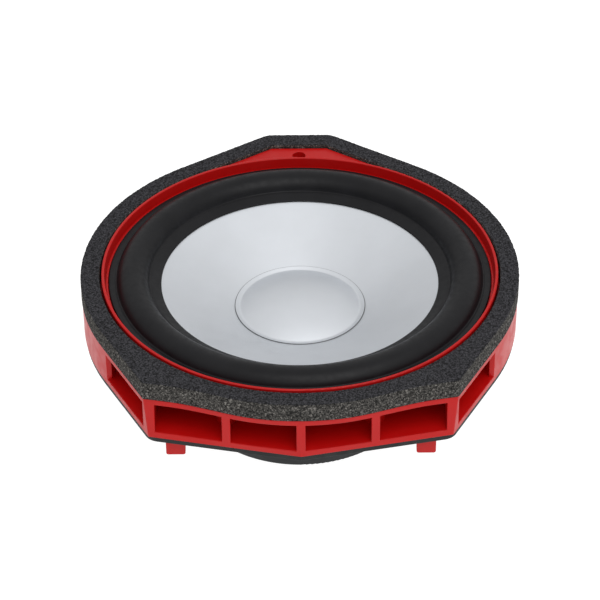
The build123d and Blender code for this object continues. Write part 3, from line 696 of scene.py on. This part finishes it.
def build_leads():
    """Three twisted strands for each tinsel lead."""
    for side, name in ((-1, "tinsel_lead_left"), (1, "tinsel_lead_right")):
        stations = lead_stations(side)
        centre = []
        for k in range(LEAD_SAMPLES + 1):
            t = k / LEAD_SAMPLES * LEAD_STATIONS
            i = min(int(t), LEAD_STATIONS - 1)
            centre.append(stations[i].lerp(stations[i + 1], t - i))
        points, faces = [], []
        for number in range(STRANDS):
            faces += strand_faces(len(points))
            points += strand(centre, number / STRANDS)
        lead = mesh_piece(name, points, faces, MATERIALS["tinsel_copper"])
        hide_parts("tinsel_leads")
        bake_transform(lead)


# Stage ------------------------------------------------------------------------------


def build_camera():
    """Camera at the photograph's viewing angle."""
    elevation = radians(CAMERA_ELEVATION)
    away = Vector((0, -cos(elevation), sin(elevation)))
    up = Vector((0, sin(elevation), cos(elevation)))
    side = Vector((1, 0, 0))
    roll = Matrix.Rotation(radians(CAMERA_ROLL), 3, away)
    target = Vector((0, 0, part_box("front_foam_gasket")[1].z))
    place = target + away * CAMERA_DISTANCE * MM - up * CAMERA_AIM_DROP * MM
    turn = Matrix((roll @ side, roll @ up, away)).transposed()
    data = bpy.data.cameras.new("camera")
    data.lens = CAMERA_LENS
    data.sensor_width = SENSOR_WIDTH
    camera = bpy.data.objects.new("camera", data)
    camera.matrix_world = Matrix.Translation(place) @ turn.to_4x4()
    bpy.context.scene.collection.objects.link(camera)
    bpy.context.scene.camera = camera


def build_floor():
    """Pale floor under the motor, clear from below so that the underside can be seen."""
    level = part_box("magnet_boot")[0].z - FLOOR_GAP * MM
    signs = ((-1, -1), (1, -1), (1, 1), (-1, 1))
    corners = [(x * FLOOR_REACH, y * FLOOR_REACH, level) for x, y in signs]
    shader = Shader("floor", 0.9, specular=0.1)
    cloud = shader.span(shader.noise(FLOOR_CLOUD, 2), 0.3, 0.7)
    shader.set("Base Color", shader.mix(cloud, *FLOOR_SHADES))
    shader.surface.inputs["Emission Color"].default_value = (1, 1, 1, 1)
    shader.surface.inputs["Emission Strength"].default_value = FLOOR_GLOW
    below = shader.node("NewGeometry").outputs["Backfacing"]
    clear = shader.node("BsdfTransparent").outputs[0]
    one_sided = shader.node("MixShader", _0=below, _1=shader.surface.outputs[0], _2=clear)
    shader.links.new(one_sided.outputs[0], shader.nodes["Material Output"].inputs["Surface"])
    floor = mesh_piece("floor", corners, [(0, 1, 2, 3)], shader.material, smooth=False)


def build_sky():
    """Studio surround: bright overhead, softer at the back, weak in front."""
    world = bpy.data.worlds.new("studio")
    world.use_nodes = True
    nodes, links = world.node_tree.nodes, world.node_tree.links
    place = nodes.new("ShaderNodeTexCoord").outputs["Generated"]
    horizon = nodes.new("ShaderNodeVectorMath")
    horizon.operation = "DOT_PRODUCT"
    horizon.inputs[1].default_value = (SKY_RIGHT, SKY_BACK, 0)
    links.new(place, horizon.inputs[0])
    level = nodes.new("ShaderNodeMath")
    level.inputs[1].default_value = SKY_HORIZON
    links.new(horizon.outputs["Value"], level.inputs[0])
    split = nodes.new("ShaderNodeSeparateXYZ")
    links.new(place, split.inputs[0])
    height = nodes.new("ShaderNodeMapRange")
    height.interpolation_type = "SMOOTHSTEP"
    height.inputs["From Max"].default_value = SKY_RISE
    links.new(split.outputs["Z"], height.inputs["Value"])
    blend = nodes.new("ShaderNodeMix")
    links.new(height.outputs["Result"], blend.inputs[0])
    links.new(level.outputs[0], blend.inputs[2])
    blend.inputs[3].default_value = SKY_ZENITH
    background = nodes["Background"]
    background.inputs["Color"].default_value = (1, 1, 1, 1)
    links.new(blend.outputs[0], background.inputs["Strength"])
    bpy.context.scene.world = world


def build_key_light():
    """One soft square light above the front right, aimed at the origin."""
    data = bpy.data.lights.new("key_light", "AREA")
    data.size = KEY_SIZE
    data.energy = KEY_POWER
    light = bpy.data.objects.new("key_light", data)
    place = Vector(KEY_PLACE)
    aim = (-place).to_track_quat("-Z", "Y")
    light.matrix_world = Matrix.Translation(place) @ aim.to_matrix().to_4x4()
    bpy.context.scene.collection.objects.link(light)


paint_cad()
build_cone()
build_dust_cap()
build_surround()
build_spider()
build_foam()
build_leads()
build_camera()
build_floor()
build_sky()
build_key_light()
bpy.context.scene.view_settings.view_transform = "Standard"
